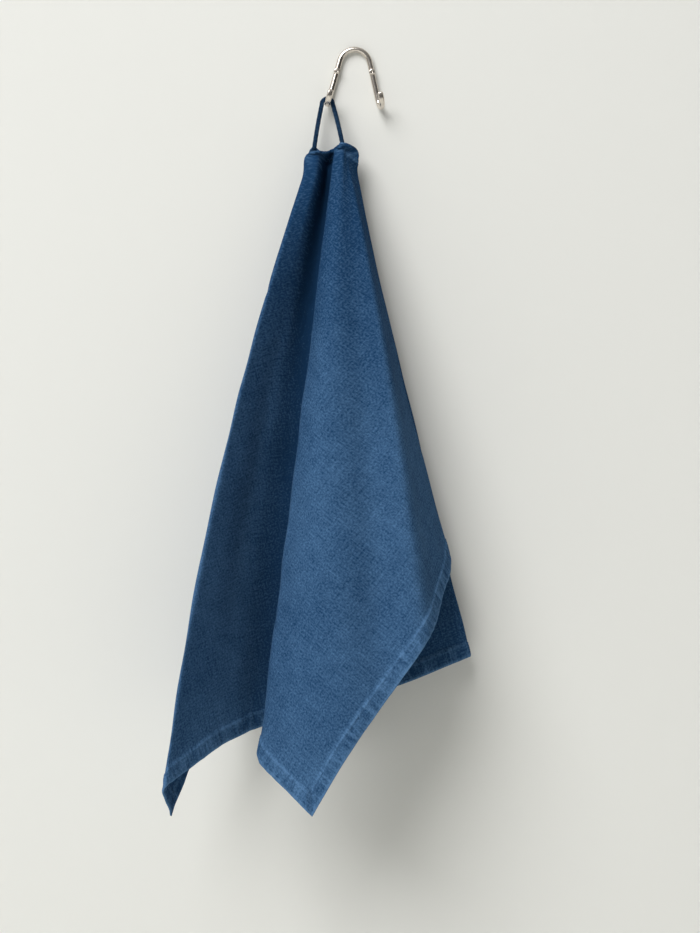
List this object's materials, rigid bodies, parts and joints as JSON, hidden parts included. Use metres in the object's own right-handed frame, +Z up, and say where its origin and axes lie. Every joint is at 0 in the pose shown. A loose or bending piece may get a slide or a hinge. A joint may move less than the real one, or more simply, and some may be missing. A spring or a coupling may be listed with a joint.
{
  "type": "tea towel hanging by its loop from a double wall hook",
  "caption": "Washed blue woven tea towel hung by its sewn loop from one arm of a polished two-armed wall hook, in deep uneven folds with stitched hems.",
  "frame": {"origin": "on the wall plane, behind the top of the hook's arch, at the middle of the bar's flat back", "axes": "+Z up, +Y into the wall, +X along the wall to the right as seen from the room"},
  "size_m": [0.2667, 0.1525, 0.68],
  "materials": {
    "towel_cloth": "washed plain weave, matt",
    "loop_cloth": "narrow sewn tape of the same cloth, matt",
    "nickel": "polished nickel"
  },
  "bodies": {
    "root": {"towel": "towel_cloth", "hanging_loop": "loop_cloth", "hook": "nickel", "screw_left": "nickel", "screw_right": "nickel"}
  },
  "joints": []
}
